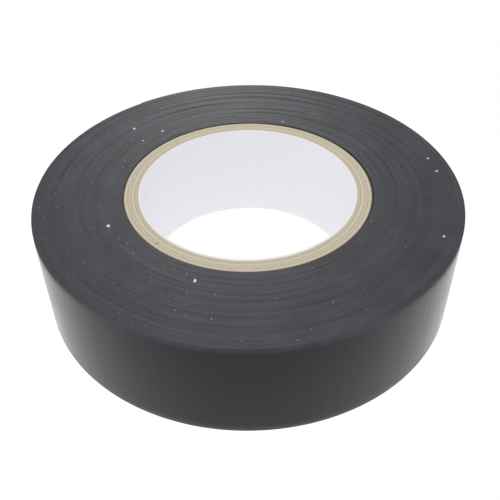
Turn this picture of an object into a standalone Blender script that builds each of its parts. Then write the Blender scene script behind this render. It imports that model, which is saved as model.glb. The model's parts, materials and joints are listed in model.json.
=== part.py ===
"""Roll of electrical tape on a spiral-wound paper core, lying on one end face.

Units are metres and +Z is up. The origin is the centre of the roll's lower end face, and +Z is
the roll's axis. Seen from above the strip is wound counter-clockwise, and its free end is stuck
down at the back, towards +Y.

The strip is one piece on the real roll. Here it is split where it moves: the wound pack, and
six short lengths of the free end that are hinged to each other, so that the end can be peeled.
The core is six strips of paper, each wound into a tube with a slanting butt seam.
"""

import math

import bpy
from mathutils import Vector

MM = 0.001

# ---------------------------------------------------------------- driving dimensions
TAPE_WIDTH = 19.0 * MM
ROLL_RADIUS = 37.0 * MM  # at the tip of the free end, where the roll is thickest
BORE_RADIUS = 18.6 * MM

STRIP_THICKNESS = 0.13 * MM  # vinyl film with its adhesive coat
BEDDING_GAP = 0.015 * MM  # between the free end and the turn beneath it

LINER_THICKNESS = 0.40 * MM
BOARD_THICKNESS = 0.575 * MM
BOARD_PLIES = 4
WRAP_THICKNESS = 0.20 * MM
GLUE_LINE = 0.02 * MM  # between one ply and the next, and between the core and the tape
CORE_RECESS = 0.15 * MM  # each end of the core sits this far inside the tape's end face

SEAM_SLOPE = math.radians(37.0)  # of a ply's edge, from the end face
SEAM_WIDTH = 0.20 * MM
SEAM_STAGGER = math.radians(95.0)  # from one ply's seam to the next ply's
FIRST_SEAM_ANGLE = math.radians(230.0)

FACETS = 120  # flats in one full turn, shared by every round piece so that they nest
FREE_LENGTHS = 6
FACETS_PER_LENGTH = 4
FREE_END_MIDDLE = math.radians(90.0)
BUTT_GAP = 0.10 * MM  # between one length of the free end and the next

CUTTER_MARGIN = 1.0 * MM
CUTTER_STEPS = 24
WELD_DISTANCE = 0.001 * MM
CREASE_ANGLE = math.radians(35.0)

# ---------------------------------------------------------------- sizes that follow
FACET_ANGLE = math.tau / FACETS
TURN_PITCH = STRIP_THICKNESS + BEDDING_GAP
LENGTH_ANGLE = FACETS_PER_LENGTH * FACET_ANGLE
PEEL_ANGLE = FREE_END_MIDDLE - FREE_LENGTHS * LENGTH_ANGLE / 2
TIP_ANGLE = PEEL_ANGLE + FREE_LENGTHS * LENGTH_ANGLE

# ---------------------------------------------------------------- finishes: linear colour, roughness
BLACK_VINYL = ((0.030, 0.030, 0.033), 0.42)
LINER_PAPER = ((0.76, 0.77, 0.82), 0.60)
GREY_BOARD = ((0.50, 0.46, 0.36), 0.90)
KRAFT_PAPER = ((0.42, 0.30, 0.17), 0.85)


def clear_scene():
    """Takes every object out, so that the roll stands alone."""
    for obj in list(bpy.data.objects):
        bpy.data.objects.remove(obj, do_unlink=True)


def new_collection(name):
    collection = bpy.data.collections.new(name)
    bpy.context.scene.collection.children.link(collection)
    return collection


def new_material(name, finish, metallic=0.0):
    colour, roughness = finish
    material = bpy.data.materials.new(name)
    material.use_nodes = True
    surface = material.node_tree.nodes["Principled BSDF"]
    surface.inputs["Base Color"].default_value = (*colour, 1.0)
    surface.inputs["Roughness"].default_value = roughness
    surface.inputs["Metallic"].default_value = metallic
    return material


def polar(radius, angle):
    return Vector((radius * math.cos(angle), radius * math.sin(angle)))


def strip_radius(angle):
    """Radius of the strip's outer face, followed back along the spiral from the tip."""
    return ROLL_RADIUS - TURN_PITCH * (TIP_ANGLE - angle) / math.tau


# ---------------------------------------------------------------- paper core
def turned_tube(name, inner, thickness, collection):
    """A plain tube, turned from its rectangular section, with flats on the shared facets."""
    top = TAPE_WIDTH - CORE_RECESS
    bottom = CORE_RECESS
    outer = inner + thickness
    section = [(outer, 0, top), (outer, 0, bottom), (inner, 0, bottom), (inner, 0, top)]
    mesh = bpy.data.meshes.new(name)
    mesh.from_pydata(section, [(0, 1), (1, 2), (2, 3), (3, 0)], [])
    tube = bpy.data.objects.new(name, mesh)
    collection.objects.link(tube)
    turn = tube.modifiers.new("turn", "SCREW")
    turn.axis = "Z"
    turn.angle = math.tau
    turn.steps = FACETS
    turn.render_steps = FACETS
    turn.use_merge_vertices = True
    turn.merge_threshold = WELD_DISTANCE
    turn.use_smooth_shade = True
    return tube


def seam_cutter(name, inner, thickness, start_angle, collection):
    """A thin ramp that crosses the tube's wall along the edge of the wound ply."""
    middle = inner + thickness / 2
    rise = TAPE_WIDTH + 2 * CUTTER_MARGIN
    ends = [
        (inner - CUTTER_MARGIN, 0, -CUTTER_MARGIN),
        (inner + thickness + CUTTER_MARGIN, 0, -CUTTER_MARGIN),
    ]
    mesh = bpy.data.meshes.new(name)
    mesh.from_pydata(ends, [(0, 1)], [])
    cutter = bpy.data.objects.new(name, mesh)
    cutter.rotation_euler.z = start_angle
    cutter.hide_render = True
    cutter.display_type = "WIRE"
    collection.objects.link(cutter)
    ramp = cutter.modifiers.new("ramp", "SCREW")
    ramp.axis = "Z"
    ramp.angle = rise / (middle * math.tan(SEAM_SLOPE))
    ramp.screw_offset = rise
    ramp.steps = CUTTER_STEPS
    ramp.render_steps = CUTTER_STEPS
    wall = cutter.modifiers.new("width", "SOLIDIFY")
    wall.thickness = SEAM_WIDTH
    wall.offset = 0.0
    return cutter


def wound_ply(name, inner, thickness, seam_angle, material, parts, cutters):
    """One strip of paper wound into a tube: its edges meet in a slanting seam."""
    ply = turned_tube(name, inner, thickness, parts)
    ply.data.materials.append(material)
    seam = ply.modifiers.new("seam", "BOOLEAN")
    seam.operation = "DIFFERENCE"
    seam.solver = "EXACT"
    seam.object = seam_cutter(name + "_seam", inner, thickness, seam_angle, cutters)
    crease = ply.modifiers.new("crease", "EDGE_SPLIT")
    crease.split_angle = CREASE_ANGLE
    return ply


def build_core(parts, cutters):
    """Liner, board plies and wrap, from the bore outwards. Returns the core's outer radius."""
    liner = new_material("liner_paper", LINER_PAPER)
    board = new_material("grey_board", GREY_BOARD)
    kraft = new_material("kraft_paper", KRAFT_PAPER)
    plies = [("core_inner_liner", LINER_THICKNESS, liner)]
    for number in range(1, BOARD_PLIES + 1):
        plies.append((f"core_board_ply_{number}", BOARD_THICKNESS, board))
    plies.append(("core_outer_wrap", WRAP_THICKNESS, kraft))

    radius = BORE_RADIUS
    seam_angle = FIRST_SEAM_ANGLE
    for name, thickness, material in plies:
        wound_ply(name, radius, thickness, seam_angle, material, parts, cutters)
        radius += thickness + GLUE_LINE
        seam_angle += SEAM_STAGGER
    return radius - GLUE_LINE


# ---------------------------------------------------------------- tape
def flat_outline(name, outlines, material, collection):
    """A solid of the tape's width from closed outlines, each a list of points in plan."""
    curve = bpy.data.curves.new(name, "CURVE")
    curve.dimensions = "2D"
    curve.fill_mode = "BOTH"
    curve.extrude = TAPE_WIDTH / 2
    for points in outlines:
        spline = curve.splines.new("POLY")
        spline.points.add(len(points) - 1)
        for point, place in zip(spline.points, points):
            point.co = (place.x, place.y, 0.0, 1.0)
        spline.use_cyclic_u = True
    curve.materials.append(material)
    solid = bpy.data.objects.new(name, curve)
    collection.objects.link(solid)
    return solid


def build_windings(core_radius, vinyl, parts):
    """The wound pack: a ring whose outside is the last full turn of the spiral."""
    last_turn = []
    for step in range(FACETS + 1):
        angle = PEEL_ANGLE - math.tau + step * FACET_ANGLE
        last_turn.append(polar(strip_radius(angle), angle))
    hole = [polar(core_radius + GLUE_LINE, step * FACET_ANGLE) for step in range(FACETS)]
    windings = flat_outline("tape_windings", [last_turn, hole], vinyl, parts)
    windings.location.z = TAPE_WIDTH / 2
    return windings


def free_length_outline(start, pivot):
    """One length of the free end in plan, measured from its hinge line."""
    angles = [start + BUTT_GAP / ROLL_RADIUS]
    angles += [start + step * FACET_ANGLE for step in range(1, FACETS_PER_LENGTH + 1)]
    outside = [polar(strip_radius(angle), angle) for angle in angles]
    inside = [polar(strip_radius(angle) - STRIP_THICKNESS, angle) for angle in angles]
    return [point - pivot for point in outside + inside[::-1]]


def build_free_end(vinyl, parts):
    """Short lengths of strip, each hinged on the outer face of the one before it."""
    holder = None
    holder_place = Vector((0.0, 0.0))
    for number in range(1, FREE_LENGTHS + 1):
        start = PEEL_ANGLE + (number - 1) * LENGTH_ANGLE
        pivot = polar(strip_radius(start), start)
        hinge = bpy.data.objects.new(f"peel_hinge_{number}", None)
        hinge.empty_display_size = TAPE_WIDTH / 4
        hinge.parent = holder
        hinge.location = (*(pivot - holder_place), 0.0 if holder else TAPE_WIDTH / 2)
        parts.objects.link(hinge)
        outline = free_length_outline(start, pivot)
        length = flat_outline(f"free_end_{number}", [outline], vinyl, parts)
        length.parent = hinge
        holder = hinge
        holder_place = pivot


def main():
    clear_scene()
    parts = new_collection("electrical_tape_roll")
    cutters = new_collection("seam_cutters")
    cutters.hide_render = True
    core_radius = build_core(parts, cutters)
    vinyl = new_material("black_vinyl", BLACK_VINYL)
    build_windings(core_radius, vinyl, parts)
    build_free_end(vinyl, parts)


main()
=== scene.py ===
# %% [markdown]
# # A roll of electrical tape
#
# This file dresses a finished CAD model of a tape roll. The CAD parts fix every size and every
# hinge. Here each part gets the surface of the real thing: a strip of vinyl wound a hundred
# times, the slit edges that make the roll's end face, and a core of glued paper plies.
#
# Everything is in metres, +Z is up, and the roll stands on z = 0 with its axis on Z.

import json
import math
import random

import bmesh
import bpy
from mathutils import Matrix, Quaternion, Vector


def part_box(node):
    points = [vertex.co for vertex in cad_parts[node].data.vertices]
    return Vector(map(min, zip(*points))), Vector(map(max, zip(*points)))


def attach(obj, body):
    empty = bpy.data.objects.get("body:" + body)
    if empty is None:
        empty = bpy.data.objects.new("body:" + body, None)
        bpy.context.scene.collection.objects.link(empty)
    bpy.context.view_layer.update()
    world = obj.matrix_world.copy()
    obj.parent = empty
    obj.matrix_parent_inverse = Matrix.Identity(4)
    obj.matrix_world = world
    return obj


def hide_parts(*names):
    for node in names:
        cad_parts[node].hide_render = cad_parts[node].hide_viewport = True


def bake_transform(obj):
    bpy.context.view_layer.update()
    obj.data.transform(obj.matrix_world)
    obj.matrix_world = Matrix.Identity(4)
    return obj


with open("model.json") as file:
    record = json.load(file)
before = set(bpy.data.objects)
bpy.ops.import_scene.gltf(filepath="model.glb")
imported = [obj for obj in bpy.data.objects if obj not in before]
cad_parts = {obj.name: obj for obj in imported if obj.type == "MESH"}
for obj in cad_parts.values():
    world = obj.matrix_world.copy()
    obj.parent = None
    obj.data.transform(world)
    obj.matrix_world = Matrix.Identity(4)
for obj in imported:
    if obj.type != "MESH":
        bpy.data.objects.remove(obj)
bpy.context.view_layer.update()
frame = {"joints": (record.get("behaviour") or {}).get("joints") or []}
MM = 0.001

# %% [markdown]
# ## Camera
#
# The roll is seen from close by, with a normal lens, so its near side looks clearly larger than
# its far side. A long lens further off would flatten that, so both the distance and the focal
# length are set. The camera looks at a point on the roll's axis, a little above the ground.

# %% Camera
CAMERA_DISTANCE = 135.4 * MM  # from the centre of the lower end face
CAMERA_ELEVATION = math.radians(42.61)
CAMERA_AIM = Vector((0.26, 0.0, 4.47)) * MM
CAMERA_LEAN = math.radians(-0.65)
FOCAL_LENGTH_MM = 50.85
SENSOR_MM = 36.0

scene = bpy.context.scene
scene.view_settings.view_transform = "Standard"
lens = bpy.data.cameras.new("camera")
lens.lens = FOCAL_LENGTH_MM
lens.sensor_width = SENSOR_MM
lens.clip_start = 1.0 * MM
camera = bpy.data.objects.new("camera", lens)
scene.collection.objects.link(camera)
toward_camera = Vector((0.0, -math.cos(CAMERA_ELEVATION), math.sin(CAMERA_ELEVATION)))
camera.location = CAMERA_DISTANCE * toward_camera
upright = (CAMERA_AIM - camera.location).to_track_quat("-Z", "Y")
camera.rotation_mode = "QUATERNION"
camera.rotation_quaternion = upright @ Quaternion((0.0, 0.0, 1.0), CAMERA_LEAN)
scene.camera = camera
print("camera at, mm:", [round(v / MM, 1) for v in camera.location])

# %% [markdown]
# ## Sizes from the frame
#
# Sizes are measured on the CAD wherever they can be. The tape's width and the core's radii come
# from the boxes of the CAD nodes. The free end is six short lengths on a chain of hinges, and
# each hinge lies on the strip's outer face. The hinges therefore give the spiral: how far round
# they are from each other, and how much further out each one lies. Only what no box shows is
# typed in again: the thickness of the strip and of the liner, and later the glue and the seams.

# %% Sizes from the frame
BOARD_PLIES = 4
PLY_NAMES = ["core_inner_liner"]
PLY_NAMES += [f"core_board_ply_{number}" for number in range(1, BOARD_PLIES + 1)]
PLY_NAMES += ["core_outer_wrap"]

tape_low, tape_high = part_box("tape_windings")
core_low, core_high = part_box(PLY_NAMES[0])
STRIP_THICKNESS = 0.13 * MM
LINER_THICKNESS = 0.40 * MM
TAPE_WIDTH = tape_high.z - tape_low.z
CORE_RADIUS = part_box(PLY_NAMES[-1])[1].x
BORE_RADIUS = core_high.x - LINER_THICKNESS

hinges = [Vector(joint["pos_m"]) for joint in frame["joints"]]
hinge_angles = [math.atan2(place.y, place.x) for place in hinges]
hinge_radii = [math.hypot(place.x, place.y) for place in hinges]
FREE_LENGTHS = len(hinges)
LENGTH_ANGLE = hinge_angles[1] - hinge_angles[0]
rise = (hinge_radii[-1] - hinge_radii[0]) / (hinge_angles[-1] - hinge_angles[0])
TURN_PITCH = rise * math.tau
TIP_ANGLE = hinge_angles[0] + FREE_LENGTHS * LENGTH_ANGLE
TIP_RADIUS = hinge_radii[0] + FREE_LENGTHS * LENGTH_ANGLE * rise
FREE_TURNS = FREE_LENGTHS * LENGTH_ANGLE / math.tau
print(f"strip {TAPE_WIDTH / MM:.2f} mm wide, {TURN_PITCH / MM:.3f} mm of roll radius a turn")
print(f"tip at {TIP_RADIUS / MM:.2f} mm and {math.degrees(TIP_ANGLE):.0f} degrees")

# %% [markdown]
# ## Helpers for colours and nodes
#
# Colours are picked as sRGB hex values, as a painter would read them from a swatch, and turned
# to the linear values that a renderer adds up. Every node below is made by one function. It
# takes what goes into the node's sockets: a plain value, an output of another node, or another
# node, which stands for its first output in use.

# %% Helpers for colours and nodes
def linear(hex_colour):
    """sRGB hex, such as "#1C1C1E", as linear red, green, blue and alpha."""
    channels = [int(hex_colour[at : at + 2], 16) / 255 for at in (1, 3, 5)]
    return [c / 12.92 if c <= 0.04045 else ((c + 0.055) / 1.055) ** 2.4 for c in channels] + [1.0]


def add_node(tree, kind, inputs=None, **settings):
    """Adds a node. inputs maps a socket's name or number to a value, a socket or a node."""
    node = tree.nodes.new(kind)
    for name, value in settings.items():
        setattr(node, name, value)
    in_use = {socket.name: socket for socket in reversed(node.inputs) if socket.enabled}
    for name, value in (inputs or {}).items():
        socket = node.inputs[name] if isinstance(name, int) else in_use[name]
        if isinstance(value, bpy.types.Node):
            value = next(output for output in value.outputs if output.enabled)
        if isinstance(value, bpy.types.NodeSocket):
            tree.links.new(value, socket)
        else:
            socket.default_value = value
    return node


def new_material(name):
    """An empty node material, and its tree."""
    material = bpy.data.materials.new(name)
    material.use_nodes = True
    material.node_tree.nodes.clear()
    return material, material.node_tree


# %% [markdown]
# ## Vinyl film
#
# Electrical tape is calendered PVC film, black right through, with a faint matt emboss. Almost
# nothing of its look is its own colour: it is a dark satin mirror, black where it faces you and
# pale where you graze it. So the base colour is nearly black, the IOR is a little under that of
# PVC, and the reflection is tinted slightly cold. The roll is picked up by its rims, where the
# film is rubbed paler and duller, in patches. Each point of the strip keeps its place on the
# unpeeled roll in an attribute, and the patterns read that place, so that they stay on the film
# when the free end is peeled.

# %% Vinyl film
PVC_IOR = 1.53
FILM_IOR = 1.34  # lower than bare PVC: the emboss swallows part of the reflection
FILM_BLACK = "#0A0A0E"
FILM_SCUFFED = "#18181F"
FILM_RUBBED = "#3C3D45"
FILM_TINT = (0.93, 0.93, 1.0, 1.0)  # of its reflection, which is a little cold
FILM_ROUGHNESS = (0.12, 0.28)
RUBBED_ROUGHNESS = 0.5
RUBBED_REACH = 1.5 * MM  # from each rim
RUBBED_PATCH = 5.0 * MM
FULLY_RUBBED = 0.6  # the noise value from which a patch is rubbed all over
STREAK_WIDTH = 1.4 * MM  # stretch marks across the strip: narrow along it, long across it
STREAK_LENGTH = 14.0 * MM
CALENDER_LINE = 0.8 * MM  # rolling marks, which run along the strip
EMBOSS_GRAIN = 0.25 * MM  # real emboss is near 0.05 mm: drawn coarser, so that it shows
EMBOSS_DEPTH = 0.004 * MM
STREAK_DEPTH = 0.022 * MM

vinyl_film, tree = new_material("vinyl_film")
place = add_node(tree, "ShaderNodeAttribute", attribute_name="rest_place").outputs["Vector"]
across = add_node(
    tree,
    "ShaderNodeMapping",
    {"Vector": place, "Scale": (1 / STREAK_WIDTH, 1 / STREAK_WIDTH, 1 / STREAK_LENGTH)},
)
streaks = add_node(tree, "ShaderNodeTexNoise", {"Vector": across, "Scale": 1.0, "Detail": 3.0})
along = add_node(
    tree,
    "ShaderNodeMapping",
    {"Vector": place, "Scale": (1 / STREAK_LENGTH, 1 / STREAK_LENGTH, 1 / CALENDER_LINE)},
)
lines = add_node(tree, "ShaderNodeTexNoise", {"Vector": along, "Scale": 1.0, "Detail": 3.0})
grain = add_node(
    tree, "ShaderNodeTexNoise", {"Vector": place, "Scale": 1 / EMBOSS_GRAIN, "Detail": 2.0}
)
marks = add_node(tree, "ShaderNodeMath", {0: streaks, 1: lines}, operation="MULTIPLY")
tone = add_node(
    tree,
    "ShaderNodeMix",
    {"Factor": marks, "A": linear(FILM_BLACK), "B": linear(FILM_SCUFFED)},
    data_type="RGBA",
)
shine = add_node(
    tree,
    "ShaderNodeMapRange",
    {"Value": lines, "To Min": FILM_ROUGHNESS[0], "To Max": FILM_ROUGHNESS[1]},
)
stretched = add_node(
    tree, "ShaderNodeBump", {"Height": streaks, "Distance": STREAK_DEPTH, "Strength": 1.0}
)
embossed = add_node(
    tree,
    "ShaderNodeBump",
    {"Height": grain, "Distance": EMBOSS_DEPTH, "Strength": 1.0, "Normal": stretched},
)
tall = add_node(tree, "ShaderNodeSeparateXYZ", {0: place}).outputs["Z"]
off_middle = add_node(tree, "ShaderNodeMath", {0: tall, 1: TAPE_WIDTH / 2}, operation="SUBTRACT")
off_middle = add_node(tree, "ShaderNodeMath", {0: off_middle}, operation="ABSOLUTE")
at_rim = add_node(
    tree,
    "ShaderNodeMapRange",
    {"Value": off_middle, "From Min": TAPE_WIDTH / 2 - RUBBED_REACH, "From Max": TAPE_WIDTH / 2},
    interpolation_type="SMOOTHSTEP",
)
handled = add_node(
    tree, "ShaderNodeTexNoise", {"Vector": place, "Scale": 1 / RUBBED_PATCH, "Detail": 3.0}
)
handled = add_node(tree, "ShaderNodeMapRange", {"Value": handled, "From Max": FULLY_RUBBED})
rubbed = add_node(tree, "ShaderNodeMath", {0: at_rim, 1: handled}, operation="MULTIPLY")
tone = add_node(
    tree, "ShaderNodeMix", {"Factor": rubbed, "A": tone, "B": linear(FILM_RUBBED)}, data_type="RGBA"
)
shine = add_node(tree, "ShaderNodeMix", {"Factor": rubbed, "A": shine, "B": RUBBED_ROUGHNESS})
surface = add_node(
    tree,
    "ShaderNodeBsdfPrincipled",
    {
        "Base Color": tone,
        "Roughness": shine,
        "IOR": FILM_IOR,
        "Specular Tint": FILM_TINT,
        "Normal": embossed,
    },
)
add_node(tree, "ShaderNodeOutputMaterial", {"Surface": surface})
print("vinyl film:", len(tree.nodes), "nodes")

# %% [markdown]
# ## Slit edges
#
# The end face of the roll is a hundred slit edges side by side. A knife shears them, which
# leaves the vinyl dull and a little grey, and each batch of turns is scuffed by a different
# amount, so the face is drawn in faint rings. The scuffs also drift between a purplish and a
# greenish grey. The rings need the distance from the axis, and that comes from the same
# attribute as on the film. Fine pale dust from the paper core lies in the grain.

# %% Slit edges
EDGE_DARK = "#24252B"
EDGE_PURPLE = "#3A3743"
EDGE_GREEN = "#353C41"
EDGE_DUST = "#A9A9AE"
EDGE_ROUGHNESS = (0.40, 0.54)
RING_WIDTH = 1.1 * MM
RING_LOBES = 0.6  # how much a ring changes on its way round
KNIFE_GRAIN = 0.22 * MM
KNIFE_DEPTH = 0.012 * MM
RING_DEPTH = 0.010 * MM
PATCH = 6.0 * MM
BLOTCH = 1.6 * MM
DUST_GRAIN = 0.16 * MM
SCUFF_RANGE = (0.08, 0.42)  # noise values: unscuffed below the first, scuffed above the second
HUE_RANGE = (0.35, 0.65)
DUST_RANGE = (0.70, 0.82)
DUST_SHARE = 0.5  # how much a speck of dust hides

slit_edge, tree = new_material("slit_vinyl_edge")
place = add_node(tree, "ShaderNodeAttribute", attribute_name="rest_place").outputs["Vector"]
flat = add_node(tree, "ShaderNodeVectorMath", {0: place, 1: (1.0, 1.0, 0.0)}, operation="MULTIPLY")
radius = add_node(tree, "ShaderNodeVectorMath", {0: flat}, operation="LENGTH").outputs["Value"]
ring_count = add_node(tree, "ShaderNodeMath", {0: radius, 1: 1 / RING_WIDTH}, operation="MULTIPLY")
outward = add_node(tree, "ShaderNodeVectorMath", {0: flat}, operation="NORMALIZE")
lobes = add_node(tree, "ShaderNodeVectorMath", {0: outward, "Scale": RING_LOBES}, operation="SCALE")
step_up = add_node(tree, "ShaderNodeCombineXYZ", {"Z": ring_count})
ring_place = add_node(tree, "ShaderNodeVectorMath", {0: lobes, 1: step_up}, operation="ADD")
rings = add_node(
    tree, "ShaderNodeTexNoise", {"Vector": ring_place, "Scale": 1.0, "Detail": 4.0, "Roughness": 0.55}
)
grain = add_node(tree, "ShaderNodeTexNoise", {"Vector": place, "Scale": 1 / KNIFE_GRAIN, "Detail": 3.0})
patches = add_node(tree, "ShaderNodeTexNoise", {"Vector": place, "Scale": 1 / PATCH, "Detail": 2.0})
scuffs = add_node(tree, "ShaderNodeMath", {0: rings, 1: patches}, operation="MULTIPLY")
scuffed = add_node(
    tree,
    "ShaderNodeMapRange",
    {"Value": scuffs, "From Min": SCUFF_RANGE[0], "From Max": SCUFF_RANGE[1]},
)
blotches = add_node(tree, "ShaderNodeTexNoise", {"Vector": place, "Scale": 1 / BLOTCH, "Detail": 2.0})
hue = add_node(
    tree, "ShaderNodeMapRange", {"Value": blotches, "From Min": HUE_RANGE[0], "From Max": HUE_RANGE[1]}
)
pale = add_node(
    tree,
    "ShaderNodeMix",
    {"Factor": hue, "A": linear(EDGE_GREEN), "B": linear(EDGE_PURPLE)},
    data_type="RGBA",
)
tone = add_node(
    tree, "ShaderNodeMix", {"Factor": scuffed, "A": linear(EDGE_DARK), "B": pale}, data_type="RGBA"
)
specks = add_node(tree, "ShaderNodeTexNoise", {"Vector": place, "Scale": 1 / DUST_GRAIN, "Detail": 1.0})
dusty = add_node(
    tree,
    "ShaderNodeMapRange",
    {"Value": specks, "From Min": DUST_RANGE[0], "From Max": DUST_RANGE[1], "To Max": DUST_SHARE},
)
tone = add_node(
    tree, "ShaderNodeMix", {"Factor": dusty, "A": tone, "B": linear(EDGE_DUST)}, data_type="RGBA"
)
shine = add_node(
    tree,
    "ShaderNodeMapRange",
    {"Value": grain, "To Min": EDGE_ROUGHNESS[0], "To Max": EDGE_ROUGHNESS[1]},
)
ringed = add_node(tree, "ShaderNodeBump", {"Height": rings, "Distance": RING_DEPTH, "Strength": 1.0})
sheared = add_node(
    tree,
    "ShaderNodeBump",
    {"Height": grain, "Distance": KNIFE_DEPTH, "Strength": 1.0, "Normal": ringed},
)
surface = add_node(
    tree,
    "ShaderNodeBsdfPrincipled",
    {"Base Color": tone, "Roughness": shine, "IOR": PVC_IOR, "Normal": sheared},
)
add_node(tree, "ShaderNodeOutputMaterial", {"Surface": surface})
print("slit edges:", len(tree.nodes), "nodes")

# %% [markdown]
# ## Rubber adhesive
#
# The inner face carries a thin coat of black rubber adhesive. It was spread along the strip and
# has been pulled from the turn beneath it, so it is glossy, with long shallow strings.

# %% Rubber adhesive
ADHESIVE_BLACK = "#0B0B0C"
ADHESIVE_WORN = "#1A1A1C"
ADHESIVE_ROUGHNESS = (0.16, 0.34)
RUBBER_IOR = 1.52
STRING_WIDTH = 0.5 * MM
STRING_LENGTH = 5.0 * MM
STRING_DEPTH = 0.015 * MM

rubber_adhesive, tree = new_material("rubber_adhesive")
place = add_node(tree, "ShaderNodeAttribute", attribute_name="rest_place").outputs["Vector"]
pulled = add_node(
    tree,
    "ShaderNodeMapping",
    {"Vector": place, "Scale": (1 / STRING_LENGTH, 1 / STRING_LENGTH, 1 / STRING_WIDTH)},
)
strings = add_node(tree, "ShaderNodeTexNoise", {"Vector": pulled, "Scale": 1.0, "Detail": 4.0})
tone = add_node(
    tree,
    "ShaderNodeMix",
    {"Factor": strings, "A": linear(ADHESIVE_BLACK), "B": linear(ADHESIVE_WORN)},
    data_type="RGBA",
)
shine = add_node(
    tree,
    "ShaderNodeMapRange",
    {"Value": strings, "To Min": ADHESIVE_ROUGHNESS[0], "To Max": ADHESIVE_ROUGHNESS[1]},
)
stringy = add_node(
    tree, "ShaderNodeBump", {"Height": strings, "Distance": STRING_DEPTH, "Strength": 1.0}
)
surface = add_node(
    tree,
    "ShaderNodeBsdfPrincipled",
    {"Base Color": tone, "Roughness": shine, "IOR": RUBBER_IOR, "Normal": stringy},
)
add_node(tree, "ShaderNodeOutputMaterial", {"Surface": surface})
print("rubber adhesive:", len(tree.nodes), "nodes")

# %% [markdown]
# ## Papers of the core
#
# The core is a spiral-wound paper tube. White liner paper faces the bore, brown kraft paper faces
# the tape, and grey board made of waste paper fills the middle. The kraft is drawn darker than real
# kraft, so that its colour also carries painted shade in the line where the core meets the tape. The
# saw that cut the tube threw off white crumbs and grey dust. All are matt, with fibres that show as
# soft flecks, so one function makes them from their own colours and sizes. A cut edge shows the
# layers the sheet was pressed from, as thin rings, and the liner's is warmer than its coated face.
# Each ply of board is a little lighter or darker than the next: the mesh carries that as its tone.

# %% Papers of the core
PAPER_IOR = 1.45
FIBRE_STRETCH = 5.0  # a fibre's length over its width
PULP_CLOUD = 0.3  # of the fibre pattern's scale: soft clouds in the pulp are larger than fibres
LAYERS_PER_MM = 9.0
TONE_RANGE = (1.0, 2.2)  # sums of noise: all pale below the first, all dark above the second
FLECK_RANGE = (0.68, 0.80)
FLECK_SCALE = 0.7
CUT_RANGE = (0.3, 0.8)  # how upright the surface faces: a wall below the first, a cut above


def paper(name, colours, roughness, fibre, fleck_share, depth, cut_edge=None):
    """A matt paper: pale and dark fibres, flecks, and layers on a cut edge."""
    pale, dark, fleck = [linear(colour) for colour in colours]
    material, tree = new_material(name)
    coordinates = add_node(tree, "ShaderNodeTexCoord")
    place = coordinates.outputs["Object"]
    pulp = add_node(tree, "ShaderNodeTexNoise", {"Vector": place, "Scale": PULP_CLOUD / fibre})
    laid = add_node(
        tree,
        "ShaderNodeMapping",
        {"Vector": place, "Scale": (1 / fibre, 1 / fibre, 1 / (fibre * FIBRE_STRETCH))},
    )
    fibres = add_node(tree, "ShaderNodeTexNoise", {"Vector": laid, "Scale": 1.0, "Detail": 3.0})
    flat = add_node(tree, "ShaderNodeVectorMath", {0: place, 1: (1.0, 1.0, 0.0)}, operation="MULTIPLY")
    radius = add_node(tree, "ShaderNodeVectorMath", {0: flat}, operation="LENGTH")
    depth_in = add_node(
        tree,
        "ShaderNodeMath",
        {0: radius.outputs["Value"], 1: LAYERS_PER_MM / MM},
        operation="MULTIPLY",
    )
    layers = add_node(
        tree, "ShaderNodeTexNoise", {"W": depth_in, "Scale": 1.0, "Detail": 2.0}, noise_dimensions="1D"
    )
    ply_tone = add_node(tree, "ShaderNodeAttribute", attribute_name="ply_tone").outputs["Fac"]
    mixed = pulp
    for pattern in (fibres, layers, ply_tone):
        mixed = add_node(tree, "ShaderNodeMath", {0: mixed, 1: pattern}, operation="ADD")
    share = add_node(
        tree,
        "ShaderNodeMapRange",
        {"Value": mixed, "From Min": TONE_RANGE[0], "From Max": TONE_RANGE[1]},
    )
    tone = add_node(tree, "ShaderNodeMix", {"Factor": share, "A": pale, "B": dark}, data_type="RGBA")
    spots = add_node(
        tree,
        "ShaderNodeTexNoise",
        {"Vector": laid, "Scale": FLECK_SCALE, "Detail": 1.0, "Distortion": 0.6},
    )
    flecked = add_node(
        tree,
        "ShaderNodeMapRange",
        {"Value": spots, "From Min": FLECK_RANGE[0], "From Max": FLECK_RANGE[1], "To Max": fleck_share},
    )
    tone = add_node(tree, "ShaderNodeMix", {"Factor": flecked, "A": tone, "B": fleck}, data_type="RGBA")
    if cut_edge:
        facing = coordinates.outputs["Normal"]
        upright = add_node(tree, "ShaderNodeSeparateXYZ", {0: facing}).outputs["Z"]
        upright = add_node(tree, "ShaderNodeMath", {0: upright}, operation="ABSOLUTE")
        cut = add_node(
            tree,
            "ShaderNodeMapRange",
            {"Value": upright, "From Min": CUT_RANGE[0], "From Max": CUT_RANGE[1]},
        )
        tone = add_node(
            tree, "ShaderNodeMix", {"Factor": cut, "A": tone, "B": linear(cut_edge)}, data_type="RGBA"
        )
    felted = add_node(tree, "ShaderNodeBump", {"Height": mixed, "Distance": depth, "Strength": 1.0})
    surface = add_node(
        tree,
        "ShaderNodeBsdfPrincipled",
        {"Base Color": tone, "Roughness": roughness, "IOR": PAPER_IOR, "Normal": felted},
    )
    add_node(tree, "ShaderNodeOutputMaterial", {"Surface": surface})
    return material


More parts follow.
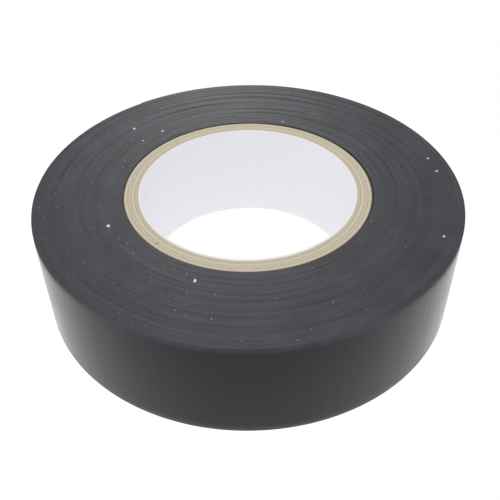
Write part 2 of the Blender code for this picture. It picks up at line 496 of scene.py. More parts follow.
liner_paper = paper(
    "white_liner_paper",
    ("#F4F5F9", "#EFF0F4", "#E3E3E8"),
    roughness=0.55, fibre=0.20 * MM, fleck_share=0.3, depth=0.004 * MM, cut_edge="#F4EEE7",
)
paper_crumb = paper(
    "white_paper_crumb",
    ("#F4F4FA", "#E4E4EC", "#D6D6E0"),
    roughness=0.70, fibre=0.10 * MM, fleck_share=0.3, depth=0.004 * MM,
)
paper_dust = paper(
    "grey_paper_dust",
    ("#A9A9B0", "#8C8C94", "#77777F"),
    roughness=0.90, fibre=0.05 * MM, fleck_share=0.3, depth=0.004 * MM,
)
grey_board = paper(
    "waste_paper_board",
    ("#E1D9C5", "#BFB59C", "#938366"),
    roughness=0.90, fibre=0.12 * MM, fleck_share=0.6, depth=0.02 * MM,
)
# Darker than real kraft: these colours are partly painted shade, for the dark line between the core and
# the tape.
kraft_and_painted_shade = paper(
    "brown_kraft_with_painted_shade",
    ("#6F6450", "#554B3B", "#443B2E"),
    roughness=0.80, fibre=0.12 * MM, fleck_share=0.5, depth=0.01 * MM,
)
for finish in (liner_paper, paper_crumb, paper_dust, grey_board, kraft_and_painted_shade):
    print(finish.name + ":", len(finish.node_tree.nodes), "nodes")

# %% [markdown]
# ## The strip, as a rule
#
# A roll of tape is one thin strip on a spiral, so a Geometry Nodes tree can wind it: a line of
# points is laid on the spiral, and the strip's thin section is swept along it. The same tree
# makes the wound pack and the free end, because each is only a stretch of the strip, given in
# turns counted back from its tip. A lathe could only turn rings, with no start and no tip.
#
# Three things keep the strip from looking like a printed spring. It wanders a few hundredths of
# a millimetre up and down as it winds, which makes the rings on the end face. Its outermost
# turns pull in at their edges, which rounds the rim. And it has soft waves along its length.

# %% Strip tree: its inputs
FLOAT, INTEGER, SURFACE = "NodeSocketFloat", "NodeSocketInt", "NodeSocketMaterial"


def new_tree(name, inputs):
    """A Geometry Nodes tree with named inputs. Returns the tree and its input node."""
    tree = bpy.data.node_groups.new(name, "GeometryNodeTree")
    for title, kind in inputs:
        tree.interface.new_socket(title, in_out="INPUT", socket_type=kind)
    tree.interface.new_socket("Geometry", in_out="OUTPUT", socket_type="NodeSocketGeometry")
    return tree, add_node(tree, "NodeGroupInput").outputs


STRIP_INPUTS = [
    ("From turn", FLOAT),
    ("To turn", FLOAT),
    ("Steps per turn", INTEGER),
    ("Section points", INTEGER),
    ("Section crowding", FLOAT),
    ("Tip radius", FLOAT),
    ("Tip angle", FLOAT),
    ("Turn pitch", FLOAT),
    ("Thickness", FLOAT),
    ("Width", FLOAT),
    ("Middle height", FLOAT),
    ("Wander", FLOAT),
    ("Edge pull", FLOAT),
    ("Edge reach", FLOAT),
    ("Pulled turns", FLOAT),
    ("Wave depth", FLOAT),
    ("Waves per turn", FLOAT),
    ("Film", SURFACE),
    ("Edge", SURFACE),
    ("Adhesive", SURFACE),
]
strip_tree, given = new_tree("tape_strip", STRIP_INPUTS)

# %% Strip tree: the section, as a closed loop of points
tree = strip_tree
points = given["Section points"]
loop_length = add_node(tree, "ShaderNodeMath", {0: points, 1: 2.0}, operation="MULTIPLY")
loop = add_node(tree, "GeometryNodeMeshLine", {"Count": loop_length})
index = add_node(tree, "GeometryNodeInputIndex")
step = add_node(tree, "ShaderNodeMath", {0: index, 1: points}, operation="MODULO")
last = add_node(tree, "ShaderNodeMath", {0: points, 1: 1.0}, operation="SUBTRACT")
share = add_node(
    tree, "ShaderNodeMapRange", {"Value": step, "From Max": last, "To Min": -1.0, "To Max": 1.0}
)
# The first half of the points lies on the strip's outer face, and the rest on its inner face.
face = add_node(tree, "ShaderNodeMath", {0: index, 1: points}, operation="LESS_THAN")
side = add_node(tree, "ShaderNodeMapRange", {"Value": face, "To Min": -1.0, "To Max": 1.0})
reach = add_node(tree, "ShaderNodeMath", {0: share}, operation="ABSOLUTE")
short_of = add_node(tree, "ShaderNodeMath", {0: 1.0, 1: reach}, operation="SUBTRACT")
crowded = add_node(
    tree, "ShaderNodeMath", {0: short_of, 1: given["Section crowding"]}, operation="POWER"
)
reach = add_node(tree, "ShaderNodeMath", {0: 1.0, 1: crowded}, operation="SUBTRACT")
sign = add_node(tree, "ShaderNodeMath", {0: share}, operation="SIGN")
signed = add_node(tree, "ShaderNodeMath", {0: reach, 1: sign}, operation="MULTIPLY")
half_width = add_node(tree, "ShaderNodeMath", {0: given["Width"], 1: 0.5}, operation="MULTIPLY")
half_thick = add_node(tree, "ShaderNodeMath", {0: given["Thickness"], 1: 0.5}, operation="MULTIPLY")
extent = add_node(tree, "ShaderNodeCombineXYZ", {"X": half_thick, "Y": half_width})
spread = add_node(tree, "ShaderNodeCombineXYZ", {"X": 1.0, "Y": signed})
spread = add_node(tree, "ShaderNodeVectorMath", {0: spread, "Scale": side}, operation="SCALE")
corner = add_node(tree, "ShaderNodeVectorMath", {0: spread, 1: extent}, operation="MULTIPLY")
loop = add_node(tree, "GeometryNodeSetPosition", {"Geometry": loop, "Position": corner})
loop = add_node(tree, "GeometryNodeMeshToCurve", {"Mesh": loop})
section = add_node(tree, "GeometryNodeSetSplineCyclic", {"Geometry": loop, "Cyclic": True})

# %% Strip tree: the spiral path
turns = add_node(
    tree, "ShaderNodeMath", {0: given["From turn"], 1: given["To turn"]}, operation="SUBTRACT"
)
steps = add_node(tree, "ShaderNodeMath", {0: turns, 1: given["Steps per turn"]}, operation="MULTIPLY")
steps = add_node(tree, "ShaderNodeMath", {0: steps}, operation="ROUND")
count = add_node(tree, "ShaderNodeMath", {0: steps, 1: 1.0}, operation="ADD")
line = add_node(tree, "GeometryNodeMeshLine", {"Count": count})
back = add_node(
    tree,
    "ShaderNodeMapRange",
    {"Value": index, "From Max": steps, "To Min": given["From turn"], "To Max": given["To turn"]},
)
angle = add_node(
    tree, "ShaderNodeMath", {0: back, 1: -math.tau, 2: given["Tip angle"]}, operation="MULTIPLY_ADD"
)
inward = add_node(tree, "ShaderNodeMath", {0: back, 1: given["Turn pitch"]}, operation="MULTIPLY")
radius = add_node(tree, "ShaderNodeMath", {0: given["Tip radius"], 1: inward}, operation="SUBTRACT")
radius = add_node(tree, "ShaderNodeMath", {0: radius, 1: half_thick}, operation="SUBTRACT")
cosine = add_node(tree, "ShaderNodeMath", {0: angle}, operation="COSINE")
sine = add_node(tree, "ShaderNodeMath", {0: angle}, operation="SINE")
outward = add_node(tree, "ShaderNodeCombineXYZ", {"X": cosine, "Y": sine})

# %% Strip tree: wander up and down, then sweep the section
BAND_TURNS = 7.0  # a ring of the end face is about this many turns
WANDER_SEED = 4.7
WANDER_LOBES = 0.9  # how much the wander changes within one turn
WANDER_RANGE = (0.2, 0.8)  # noise values at the lowest and at the highest
bands = add_node(
    tree, "ShaderNodeMath", {0: back, 1: 1 / BAND_TURNS, 2: WANDER_SEED}, operation="MULTIPLY_ADD"
)
lobes = add_node(tree, "ShaderNodeVectorMath", {0: outward, "Scale": WANDER_LOBES}, operation="SCALE")
up_bands = add_node(tree, "ShaderNodeCombineXYZ", {"Z": bands})
wander_place = add_node(tree, "ShaderNodeVectorMath", {0: lobes, 1: up_bands}, operation="ADD")
wander = add_node(
    tree, "ShaderNodeTexNoise", {"Vector": wander_place, "Scale": 1.0, "Detail": 3.0, "Roughness": 0.45}
)
wander = add_node(
    tree,
    "ShaderNodeMapRange",
    {"Value": wander, "From Min": WANDER_RANGE[0], "From Max": WANDER_RANGE[1], "To Min": -1.0},
)
height = add_node(
    tree,
    "ShaderNodeMath",
    {0: wander, 1: given["Wander"], 2: given["Middle height"]},
    operation="MULTIPLY_ADD",
)
on_plan = add_node(tree, "ShaderNodeVectorMath", {0: outward, "Scale": radius}, operation="SCALE")
lift = add_node(tree, "ShaderNodeCombineXYZ", {"Z": height})
on_spiral = add_node(tree, "ShaderNodeVectorMath", {0: on_plan, 1: lift}, operation="ADD")
line = add_node(tree, "GeometryNodeSetPosition", {"Geometry": line, "Position": on_spiral})
path = add_node(tree, "GeometryNodeMeshToCurve", {"Mesh": line})
path = add_node(tree, "GeometryNodeSetCurveNormal", {"Curve": path}, mode="Z_UP")
path = add_node(
    tree,
    "GeometryNodeStoreNamedAttribute",
    {"Geometry": path, "Name": "turns_back", "Value": back},
    data_type="FLOAT",
    domain="POINT",
)
strip = add_node(
    tree, "GeometryNodeCurveToMesh", {"Curve": path, "Profile Curve": section, "Fill Caps": True}
)

# %% Strip tree: pull the outer edges in, add the waves, and keep the place at rest
here = add_node(tree, "GeometryNodeInputPosition")  # read anew by each step, after the last move
flat = add_node(tree, "ShaderNodeVectorMath", {0: here, 1: (1.0, 1.0, 0.0)}, operation="MULTIPLY")
outward = add_node(tree, "ShaderNodeVectorMath", {0: flat}, operation="NORMALIZE")
tall = add_node(tree, "ShaderNodeSeparateXYZ", {0: here}).outputs["Z"]
off_middle = add_node(
    tree, "ShaderNodeMath", {0: tall, 1: given["Middle height"]}, operation="SUBTRACT"
)
off_middle = add_node(tree, "ShaderNodeMath", {0: off_middle}, operation="ABSOLUTE")
to_edge = add_node(tree, "ShaderNodeMath", {0: half_width, 1: off_middle}, operation="SUBTRACT")
near_edge = add_node(
    tree,
    "ShaderNodeMapRange",
    {"Value": to_edge, "From Max": given["Edge reach"], "To Min": 1.0, "To Max": 0.0},
)
near_edge = add_node(tree, "ShaderNodeMath", {0: near_edge, 1: 2.0}, operation="POWER")
turns_back = add_node(
    tree, "GeometryNodeInputNamedAttribute", {"Name": "turns_back"}, data_type="FLOAT"
)
near_outside = add_node(
    tree,
    "ShaderNodeMapRange",
    {"Value": turns_back, "From Max": given["Pulled turns"], "To Min": 1.0, "To Max": 0.0},
)
pull = add_node(tree, "ShaderNodeMath", {0: near_edge, 1: near_outside}, operation="MULTIPLY")
pull = add_node(tree, "ShaderNodeMath", {0: pull, 1: given["Edge pull"]}, operation="MULTIPLY")
wave_place = add_node(
    tree, "ShaderNodeMath", {0: given["Waves per turn"], 1: 1 / math.tau}, operation="MULTIPLY"
)
wave_place = add_node(
    tree, "ShaderNodeVectorMath", {0: outward, "Scale": wave_place}, operation="SCALE"
)
wave = add_node(tree, "ShaderNodeTexNoise", {"Vector": wave_place, "Scale": 1.0, "Detail": 1.0})
sink = add_node(
    tree, "ShaderNodeMath", {0: wave, 1: given["Wave depth"], 2: pull}, operation="MULTIPLY_ADD"
)
sink = add_node(tree, "ShaderNodeMath", {0: sink, 1: -1.0}, operation="MULTIPLY")
shift = add_node(tree, "ShaderNodeVectorMath", {0: outward, "Scale": sink}, operation="SCALE")
strip = add_node(tree, "GeometryNodeSetPosition", {"Geometry": strip, "Offset": shift})
strip = add_node(
    tree,
    "GeometryNodeStoreNamedAttribute",
    {"Geometry": strip, "Name": "rest_place", "Value": here},
    data_type="FLOAT_VECTOR",
    domain="POINT",
)

# %% Strip tree: one finish for each side of the strip
FACES_THAT_WAY = 0.7  # the least that a normal has in common with a direction it faces
facing = add_node(tree, "GeometryNodeInputNormal")
upright = add_node(tree, "ShaderNodeSeparateXYZ", {0: facing}).outputs["Z"]
upright = add_node(tree, "ShaderNodeMath", {0: upright}, operation="ABSOLUTE")
is_edge = add_node(
    tree, "FunctionNodeCompare", {"A": upright, "B": FACES_THAT_WAY}, operation="GREATER_THAN"
)
facing_out = add_node(
    tree, "ShaderNodeVectorMath", {0: facing, 1: outward}, operation="DOT_PRODUCT"
).outputs["Value"]
is_inner = add_node(
    tree, "FunctionNodeCompare", {"A": facing_out, "B": -FACES_THAT_WAY}, operation="LESS_THAN"
)
strip = add_node(tree, "GeometryNodeRealizeInstances", {"Geometry": strip})
for chosen, finish in ((True, "Film"), (is_edge, "Edge"), (is_inner, "Adhesive")):
    strip = add_node(
        tree,
        "GeometryNodeSetMaterial",
        {"Geometry": strip, "Selection": chosen, "Material": given[finish]},
    )
add_node(tree, "NodeGroupOutput", {"Geometry": strip})
print("strip tree:", len(tree.nodes), "nodes")

# %% [markdown]
# ## From a tree to a plain mesh
#
# The modifier is only the workshop. It runs once on an empty object, its result is copied out
# as a plain mesh, and the object that carried it is thrown away. A mesh whose enclosed volume
# comes out negative is inside out, so its faces are turned round.

# %% Grow a piece
SHARP_ANGLE = math.radians(35.0)


def signed_volume(mesh):
    """The volume that a closed mesh holds: negative when its faces point inwards."""
    shape = bmesh.new()
    shape.from_mesh(mesh)
    volume = shape.calc_volume(signed=True)
    shape.free()
    return volume


def grow(name, tree, values, start_mesh=None, bevel=None):
    """Runs a tree once and returns its result as a plain mesh object with sharp corners."""
    starter = bpy.data.objects.new(name + "_start", start_mesh or bpy.data.meshes.new(name))
    scene.collection.objects.link(starter)
    modifier = starter.modifiers.new("grow", "NODES")
    modifier.node_group = tree
    for item in tree.interface.items_tree:
        if item.name in values:
            modifier[item.identifier] = values[item.name]
    if bevel:
        rounded = starter.modifiers.new("rounded_edges", "BEVEL")
        rounded.width = bevel
        rounded.segments = 2
        rounded.limit_method = "ANGLE"
        rounded.angle_limit = SHARP_ANGLE
    graph = bpy.context.evaluated_depsgraph_get()
    mesh = bpy.data.meshes.new_from_object(
        starter.evaluated_get(graph), preserve_all_data_layers=True, depsgraph=graph
    )
    bpy.data.objects.remove(starter)
    if signed_volume(mesh) < 0:
        mesh.flip_normals()
    mesh.shade_smooth()
    mesh.set_sharp_from_angle(angle=SHARP_ANGLE)
    mesh.name = name
    piece = bpy.data.objects.new(name, mesh)
    scene.collection.objects.link(piece)
    mesh.calc_loop_triangles()
    print(f"{name}: {len(mesh.loop_triangles)} triangles, {signed_volume(mesh) / MM**3:.1f} mm3")
    return piece


# %% [markdown]
# ## The wound tape
#
# Inside the roll nobody sees the faces of the strip, so there its section is a plain box, and
# few steps a turn are enough. The outermost full turn is the roll's whole side wall. It gets a
# fine section, with points crowded near both edges, where it is pulled in. Steps per turn are
# a multiple of one another, so that a turn never cuts through the turn beneath it.

# %% Wind the tape
EDGE_CLEARANCE = 0.07 * MM  # the strip is this much inside the roll's end faces, to wander in
PACK_STEPS = 216
WALL_STEPS = 432
strip_values = {
    "Tip radius": TIP_RADIUS,
    "Tip angle": TIP_ANGLE,
    "Turn pitch": TURN_PITCH,
    "Thickness": STRIP_THICKNESS,
    "Width": TAPE_WIDTH - 2 * EDGE_CLEARANCE,
    "Middle height": TAPE_WIDTH / 2,
    "Wander": EDGE_CLEARANCE,
    "Edge pull": 0.08 * MM,
    "Edge reach": 0.6 * MM,
    "Pulled turns": 14.0,
    "Wave depth": 0.03 * MM,
    "Waves per turn": 60.0,
    "Film": vinyl_film,
    "Edge": slit_edge,
    "Adhesive": rubber_adhesive,
}
wound_thickness = TIP_RADIUS - STRIP_THICKNESS - CORE_RADIUS
core_turn = math.floor(wound_thickness / TURN_PITCH * PACK_STEPS) / PACK_STEPS
wall_turn = FREE_TURNS + 1.0
pack_section = {"Section points": 2, "Section crowding": 1.0, "Steps per turn": PACK_STEPS}
wall_section = {"Section points": 14, "Section crowding": 2.0, "Steps per turn": WALL_STEPS}

wound_pack = grow(
    "tape_wound_pack",
    strip_tree,
    {**strip_values, **pack_section, "From turn": core_turn, "To turn": wall_turn},
)
side_wall = grow(
    "tape_outer_turn",
    strip_tree,
    {**strip_values, **wall_section, "From turn": wall_turn, "To turn": FREE_TURNS},
)
for piece in (wound_pack, side_wall):
    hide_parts("tape_windings")
    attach(piece, "roll")
print(f"{core_turn - FREE_TURNS:.1f} turns wound on the core")

# %% [markdown]
# ## The free end
#
# The last fifth of a turn is the free end. It is the same strip, cut into six stretches that meet
# halfway between the hinges, so that each holds one hinge. The first stretch starts on its hinge,
# where the film is still stuck down.


length_turns = FREE_TURNS / FREE_LENGTHS
cuts = [0.0] + [number - 0.5 for number in range(1, FREE_LENGTHS)] + [float(FREE_LENGTHS)]
for number in range(1, FREE_LENGTHS + 1):
    from_turn = FREE_TURNS - cuts[number - 1] * length_turns
    to_turn = FREE_TURNS - cuts[number] * length_turns
    stretch = grow(
        f"tape_free_end_{number}",
        strip_tree,
        {**strip_values, **wall_section, "From turn": from_turn, "To turn": to_turn},
    )
    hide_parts(f"free_end_{number}")
    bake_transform(stretch)

# %% [markdown]
# ## Plies of the core
#
# Each ply is a ribbon of paper wound on a mandrel at a slant, so its two edges meet in a seam
# that climbs round the tube. The tree makes it that way: a flat grid is rolled round, sheared
# by the slope of the seam, given its thickness, and closed along its inner side. The cut ends
# are a little ragged, because the tube was sawn to length after it was glued.

# %% Ply tree
PLY_INPUTS = [
    ("Inner radius", FLOAT),
    ("Thickness", FLOAT),
    ("Bottom", FLOAT),
    ("Height", FLOAT),
    ("Seam angle", FLOAT),
    ("Seam slope", FLOAT),
    ("Seam gap", FLOAT),
    ("Columns", INTEGER),
    ("Rows", INTEGER),
    ("Ragged", FLOAT),
    ("Tone", FLOAT),
    ("Paper", SURFACE),
]
WELD_DISTANCE = 0.001 * MM
ply_tree, given = new_tree("wound_ply", PLY_INPUTS)
tree = ply_tree
sheet = add_node(
    tree,
    "GeometryNodeMeshGrid",
    {"Size X": 1.0, "Size Y": 1.0, "Vertices X": given["Columns"], "Vertices Y": given["Rows"]},
).outputs["Mesh"]
here = add_node(tree, "GeometryNodeInputPosition")
flat = add_node(tree, "ShaderNodeSeparateXYZ", {0: here})
round_share = add_node(tree, "ShaderNodeMath", {0: flat.outputs["X"], 1: 0.5}, operation="ADD")
up_share = add_node(tree, "ShaderNodeMath", {0: flat.outputs["Y"], 1: 0.5}, operation="ADD")
rise = add_node(tree, "ShaderNodeMath", {0: up_share, 1: given["Height"]}, operation="MULTIPLY")
slope = add_node(tree, "ShaderNodeMath", {0: given["Seam slope"]}, operation="TANGENT")
lean = add_node(tree, "ShaderNodeMath", {0: rise, 1: slope}, operation="DIVIDE")
lean = add_node(tree, "ShaderNodeMath", {0: lean, 1: given["Inner radius"]}, operation="DIVIDE")
gap = add_node(
    tree, "ShaderNodeMath", {0: given["Seam gap"], 1: given["Inner radius"]}, operation="DIVIDE"
)
span = add_node(tree, "ShaderNodeMath", {0: math.tau, 1: gap}, operation="SUBTRACT")
turned = add_node(tree, "ShaderNodeMath", {0: round_share, 1: span, 2: lean}, operation="MULTIPLY_ADD")
angle = add_node(tree, "ShaderNodeMath", {0: turned, 1: given["Seam angle"]}, operation="ADD")
cosine = add_node(tree, "ShaderNodeMath", {0: angle}, operation="COSINE")
sine = add_node(tree, "ShaderNodeMath", {0: angle}, operation="SINE")
tall = add_node(tree, "ShaderNodeMath", {0: rise, 1: given["Bottom"]}, operation="ADD")
round_x = add_node(tree, "ShaderNodeMath", {0: cosine, 1: given["Inner radius"]}, operation="MULTIPLY")
round_y = add_node(tree, "ShaderNodeMath", {0: sine, 1: given["Inner radius"]}, operation="MULTIPLY")
rolled = add_node(tree, "ShaderNodeCombineXYZ", {"X": round_x, "Y": round_y, "Z": tall})
sheet = add_node(tree, "GeometryNodeSetPosition", {"Geometry": sheet, "Position": rolled})
thick = add_node(
    tree,
    "GeometryNodeExtrudeMesh",
    {"Mesh": sheet, "Offset Scale": given["Thickness"], "Individual": False},
).outputs["Mesh"]
lining = add_node(tree, "GeometryNodeFlipFaces", {"Mesh": sheet})
shell = add_node(tree, "GeometryNodeJoinGeometry")
for part in (thick, lining.outputs["Mesh"]):
    tree.links.new(part, shell.inputs["Geometry"])
ply = add_node(tree, "GeometryNodeMergeByDistance", {"Geometry": shell, "Distance": WELD_DISTANCE})

# %% Ply tree: ragged ends, tone and paper
SAW_MARK = 0.5 * MM
saw = add_node(tree, "ShaderNodeTexNoise", {"Vector": here, "Scale": 1 / SAW_MARK})
uneven = add_node(tree, "ShaderNodeMath", {0: saw, 1: given["Ragged"]}, operation="MULTIPLY")
end_share = add_node(tree, "ShaderNodeSeparateXYZ", {0: here}).outputs["Z"]
end_share = add_node(tree, "ShaderNodeMath", {0: end_share, 1: given["Bottom"]}, operation="SUBTRACT")
end_share = add_node(
    tree,
    "ShaderNodeMapRange",
    {"Value": end_share, "From Max": given["Height"], "To Min": 1.0, "To Max": -1.0},
)
into = add_node(tree, "ShaderNodeMath", {0: uneven, 1: end_share}, operation="MULTIPLY")
into = add_node(tree, "ShaderNodeCombineXYZ", {"Z": into})
ply = add_node(tree, "GeometryNodeSetPosition", {"Geometry": ply, "Offset": into})
ply = add_node(
    tree,
    "GeometryNodeStoreNamedAttribute",
    {"Geometry": ply, "Name": "ply_tone", "Value": given["Tone"]},
    data_type="FLOAT",
    domain="POINT",
)
ply = add_node(tree, "GeometryNodeRealizeInstances", {"Geometry": ply})
ply = add_node(tree, "GeometryNodeSetMaterial", {"Geometry": ply, "Material": given["Paper"]})
add_node(tree, "NodeGroupOutput", {"Geometry": ply})
print("ply tree:", len(tree.nodes), "nodes")

# %% Wind the six plies
SEAM_SLOPE = math.radians(37.0)  # the seams start and climb as in the CAD
SEAM_STAGGER = math.radians(95.0)
FIRST_SEAM_ANGLE = math.radians(230.0)
SEAM_GAP = 0.15 * MM
WORN_EDGE = 0.04 * MM  # paper has no sharp edges
GLUE_LINE = 0.02 * MM
PLY_TONES = [0.0, 0.35, 0.0, 0.30, 0.10, 0.0]  # 0 is the lightest
PLY_RAGGED = [0.02 * MM] + BOARD_PLIES * [0.06 * MM] + [0.05 * MM]
PLY_PAPERS = [liner_paper] + BOARD_PLIES * [grey_board] + [kraft_and_painted_shade]
ply_radii = [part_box(name)[1].x for name in PLY_NAMES]
for number, name in enumerate(PLY_NAMES):
    outer = ply_radii[number]
    inner = ply_radii[number - 1] + GLUE_LINE if number else BORE_RADIUS
    ply = grow(
        "paper_" + name,
        ply_tree,
        {
            "Inner radius": inner,
            "Thickness": outer - inner,
            "Bottom": core_low.z,
            "Height": core_high.z - core_low.z,
            "Seam angle": FIRST_SEAM_ANGLE + number * SEAM_STAGGER,
            "Seam slope": SEAM_SLOPE,
            "Seam gap": SEAM_GAP,
            "Columns": 240,
            "Rows": 24,
            "Ragged": PLY_RAGGED[number],
            "Tone": PLY_TONES[number],
            "Paper": PLY_PAPERS[number],
        },
        bevel=WORN_EDGE,
    )
    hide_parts(name)
    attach(ply, "roll")

# %% [markdown]
# ## Crumbs of paper
#
# Sawing the core throws white crumbs on the tape, and the slit edges are sticky enough to hold
# them. A few large ones are set where a handful settled, given by radius and angle, and grey
# dust is strewn with a fixed seed, more of it on one side. One crumb is a small round shape of a
# few dozen faces, crushed by noise, and it is repeated at random sizes and turns.

# %% Crumb tree
CRUMB_INPUTS = [("Places", "NodeSocketGeometry"), ("Seed", INTEGER), ("Paper", SURFACE)]
CRUSH_SCALE = 2.2  # of the noise, on a crumb one unit wide: dents of half its width
CRUMB_LEAST = (0.6, 0.6, 0.25)  # a crumb's length, width and height, as shares of its size
CRUMB_MOST = (1.3, 1.3, 0.5)
MOST_TURNED = (0.3, 0.3, math.tau)  # crumbs lie nearly flat, and any way round
crumb_tree, given = new_tree("crumbs", CRUMB_INPUTS)
tree = crumb_tree
crumb = add_node(tree, "GeometryNodeMeshIcoSphere", {"Radius": 0.5, "Subdivisions": 2})
crushed = add_node(
    tree,
    "ShaderNodeTexNoise",
    {"Vector": add_node(tree, "GeometryNodeInputPosition"), "Scale": CRUSH_SCALE, "Detail": 1.0},
).outputs["Color"]
crushed = add_node(tree, "ShaderNodeVectorMath", {0: crushed, 1: (0.5, 0.5, 0.5)}, operation="SUBTRACT")
crumb = add_node(tree, "GeometryNodeSetPosition", {"Geometry": crumb, "Offset": crushed})
size = add_node(tree, "GeometryNodeInputNamedAttribute", {"Name": "crumb_size"}, data_type="FLOAT")
stretch = add_node(
    tree,
    "FunctionNodeRandomValue",
    {0: CRUMB_LEAST, 1: CRUMB_MOST, "Seed": given["Seed"]},
    data_type="FLOAT_VECTOR",
)
scale = add_node(tree, "ShaderNodeVectorMath", {0: stretch, "Scale": size}, operation="SCALE")
spin = add_node(
    tree,
    "FunctionNodeRandomValue",
    {0: (0.0, 0.0, 0.0), 1: MOST_TURNED, "Seed": given["Seed"]},
    data_type="FLOAT_VECTOR",
)
crumbs = add_node(
    tree,
    "GeometryNodeInstanceOnPoints",
    {"Points": given["Places"], "Instance": crumb, "Rotation": spin, "Scale": scale},
)
crumbs = add_node(tree, "GeometryNodeRealizeInstances", {"Geometry": crumbs})
crumbs = add_node(tree, "GeometryNodeSetMaterial", {"Geometry": crumbs, "Material": given["Paper"]})
add_node(tree, "NodeGroupOutput", {"Geometry": crumbs})
print("crumb tree:", len(tree.nodes), "nodes")

# %% Strew the crumbs
LARGE_CRUMBS = [
    (29.6, 138, 0.65),
    (25.1, 142, 0.42),
    (25.0, 131, 0.50),
    (25.0, 204, 0.65),
    (24.7, 251, 0.65),
    (34.0, 14, 0.50),
    (34.0, 7, 0.50),
    (34.1, 336, 0.52),
    (22.8, 72, 0.42),
]  # radius in mm, angle in degrees, size in mm
GRAINS_OF_DUST = 120
DUST_SIZE = (0.10, 0.28)  # in mm
DUSTY_SIDE = math.radians(205.0)
CLEAN_SIDE_KEEPS = 0.12  # of the dust that falls there
CLEAR_OF_CORE = 0.5 * MM
CLEAR_OF_RIM = 1.0 * MM
STREWN_SEED = 12
CRUMB_SEED = 3
chance = random.Random(STREWN_SEED)
large = [(radius * MM, math.radians(angle), size * MM) for radius, angle, size in LARGE_CRUMBS]
small = []
while len(small) < GRAINS_OF_DUST:
    radius = chance.uniform(CORE_RADIUS + CLEAR_OF_CORE, TIP_RADIUS - CLEAR_OF_RIM)
    angle = chance.uniform(0.0, math.tau)
    dusty = (0.5 + 0.5 * math.cos(angle - DUSTY_SIDE)) ** 2
    if chance.random() < CLEAN_SIDE_KEEPS + (1.0 - CLEAN_SIDE_KEEPS) * dusty:
        small.append((radius, angle, chance.uniform(*DUST_SIZE) * MM))
top = TAPE_WIDTH - EDGE_CLEARANCE
for name, places, finish in (("crumbs", large, paper_crumb), ("dust", small, paper_dust)):
    dots = bpy.data.meshes.new(name + "_places")
    dots.from_pydata([(r * math.cos(a), r * math.sin(a), top) for r, a, size in places], [], [])
    sizes = dots.attributes.new("crumb_size", "FLOAT", "POINT")
    sizes.data.foreach_set("value", [size for r, a, size in places])
    values = {"Seed": CRUMB_SEED, "Paper": finish}
    strewn = grow("paper_" + name, crumb_tree, values, start_mesh=dots)
    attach(strewn, "roll")

# %% [markdown]
# ## Floor and light
#
# The roll lies on a white table in a white tent of light, the usual way to show a small black
# thing. A dark satin surface shows the tent and little else, so the tent is the lighting. It is
# the world: bright at the sides and overhead, dimmer in front, where its opening is, and dimmer
# at the back, and a little brighter on the left than on the right. The eye itself sees it as
# plain white. The table is a lit pane, which glows most just round the roll and not under it.
# One tall soft box behind the roll lays a narrow bright band across the end face.

# %% Floor
TABLE_SIZE = 3.0
TABLE_NEAR = 1.12
TABLE_IN_BORE = 1.0
TABLE_FAR = 1.0
GLOW_IN_BORE = BORE_RADIUS + 0.2 * MM  # reaches under the core, which ends short of the table
GLOW_FROM = TIP_RADIUS - 0.35 * MM
GLOW_TO = 75.0 * MM

floor_mesh = bpy.data.meshes.new("floor")
half = TABLE_SIZE / 2
floor_mesh.from_pydata(
    [(-half, -half, 0), (half, -half, 0), (half, half, 0), (-half, half, 0)], [], [(0, 1, 2, 3)]
)
floor = bpy.data.objects.new("floor", floor_mesh)
scene.collection.objects.link(floor)
white_table, tree = new_material("white_light_table")
place = add_node(tree, "ShaderNodeTexCoord").outputs["Object"]
away = add_node(tree, "ShaderNodeVectorMath", {0: place}, operation="LENGTH").outputs["Value"]
glow = add_node(
    tree,
    "ShaderNodeMapRange",
    {
        "Value": away,
        "From Min": GLOW_FROM,
        "From Max": GLOW_TO,
        "To Min": TABLE_NEAR,
        "To Max": TABLE_FAR,
    },
)
in_bore = add_node(tree, "ShaderNodeMath", {0: away, 1: GLOW_IN_BORE}, operation="LESS_THAN")
outside = add_node(tree, "ShaderNodeMath", {0: away, 1: GLOW_FROM}, operation="GREATER_THAN")
inner_glow = add_node(tree, "ShaderNodeMath", {0: in_bore, 1: TABLE_IN_BORE}, operation="MULTIPLY")
glow = add_node(tree, "ShaderNodeMath", {0: glow, 1: outside, 2: inner_glow}, operation="MULTIPLY_ADD")
light = add_node(tree, "ShaderNodeEmission", {"Strength": glow})
add_node(tree, "ShaderNodeOutputMaterial", {"Surface": light})
floor_mesh.materials.append(white_table)
print(f"table lit to {GLOW_IN_BORE / MM:.1f} mm and from {GLOW_FROM / MM:.1f} mm")

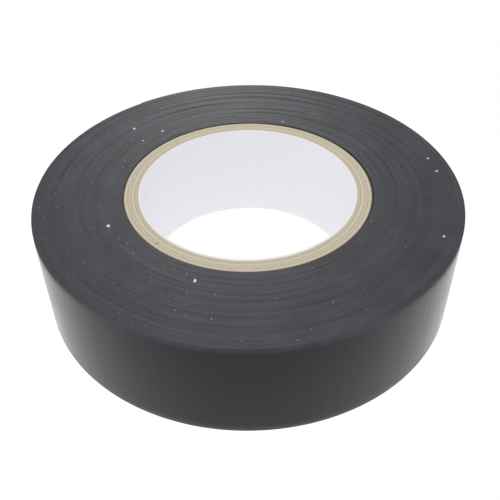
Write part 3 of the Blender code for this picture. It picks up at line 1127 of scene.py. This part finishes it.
# %% Soft box
SOFT_BOX_PLACE = Vector((-0.03, 0.52, 0.34))
SOFT_BOX_WIDTH = 0.14
SOFT_BOX_HEIGHT = 0.60
SOFT_BOX_RADIANCE = 2.8
soft_box = bpy.data.lights.new("soft_box", "AREA")
soft_box.shape = "RECTANGLE"
soft_box.size = SOFT_BOX_WIDTH
soft_box.size_y = SOFT_BOX_HEIGHT
soft_box.energy = SOFT_BOX_RADIANCE * math.pi * SOFT_BOX_WIDTH * SOFT_BOX_HEIGHT
lamp = bpy.data.objects.new("soft_box", soft_box)
lamp.location = SOFT_BOX_PLACE
lamp.rotation_euler = (-SOFT_BOX_PLACE).to_track_quat("-Z", "Y").to_euler()
scene.collection.objects.link(lamp)

# %% Tent of light
TENT_BRIGHT = 1.12
TENT_DIM = 0.75
TENT_BACK = 0.62  # of the brightness there
TENT_FRONT = (0.0, -1.0, -0.1)  # the opening's direction
OPENING = (0.7, 1.0)  # how far towards the front it starts, and where it is dimmest
BACK_PANEL = (-0.9, -0.2)  # where the back is dimmest, and where it ends
BRIGHTER_SIDE = (-0.10, 0.0, 0.0)
WHITE = (1.0, 1.0, 1.0, 1.0)
world = bpy.data.worlds.new("tent")
world.use_nodes = True
tree = world.node_tree
tree.nodes.clear()
direction = add_node(tree, "ShaderNodeTexCoord").outputs["Generated"]
facing = add_node(
    tree, "ShaderNodeVectorMath", {0: direction, 1: TENT_FRONT}, operation="DOT_PRODUCT"
).outputs["Value"]
brightness = add_node(
    tree,
    "ShaderNodeMapRange",
    {
        "Value": facing,
        "From Min": OPENING[0],
        "From Max": OPENING[1],
        "To Min": TENT_BRIGHT,
        "To Max": TENT_DIM,
    },
    interpolation_type="SMOOTHSTEP",
)
lean = add_node(
    tree, "ShaderNodeVectorMath", {0: direction, 1: BRIGHTER_SIDE}, operation="DOT_PRODUCT"
).outputs["Value"]
brightness = add_node(tree, "ShaderNodeMath", {0: brightness, 1: lean}, operation="ADD")
back_panel = add_node(
    tree,
    "ShaderNodeMapRange",
    {
        "Value": facing,
        "From Min": BACK_PANEL[0],
        "From Max": BACK_PANEL[1],
        "To Min": TENT_BACK,
        "To Max": 1.0,
    },
    interpolation_type="SMOOTHSTEP",
)
brightness = add_node(tree, "ShaderNodeMath", {0: brightness, 1: back_panel}, operation="MULTIPLY")
tent = add_node(tree, "ShaderNodeBackground", {"Strength": brightness})
backdrop = add_node(tree, "ShaderNodeBackground", {"Strength": 1.0, "Color": WHITE})
seen = add_node(tree, "ShaderNodeLightPath").outputs["Is Camera Ray"]
either = add_node(tree, "ShaderNodeMixShader", {0: seen, 1: tent, 2: backdrop})
add_node(tree, "ShaderNodeOutputWorld", {"Surface": either})
scene.world = world
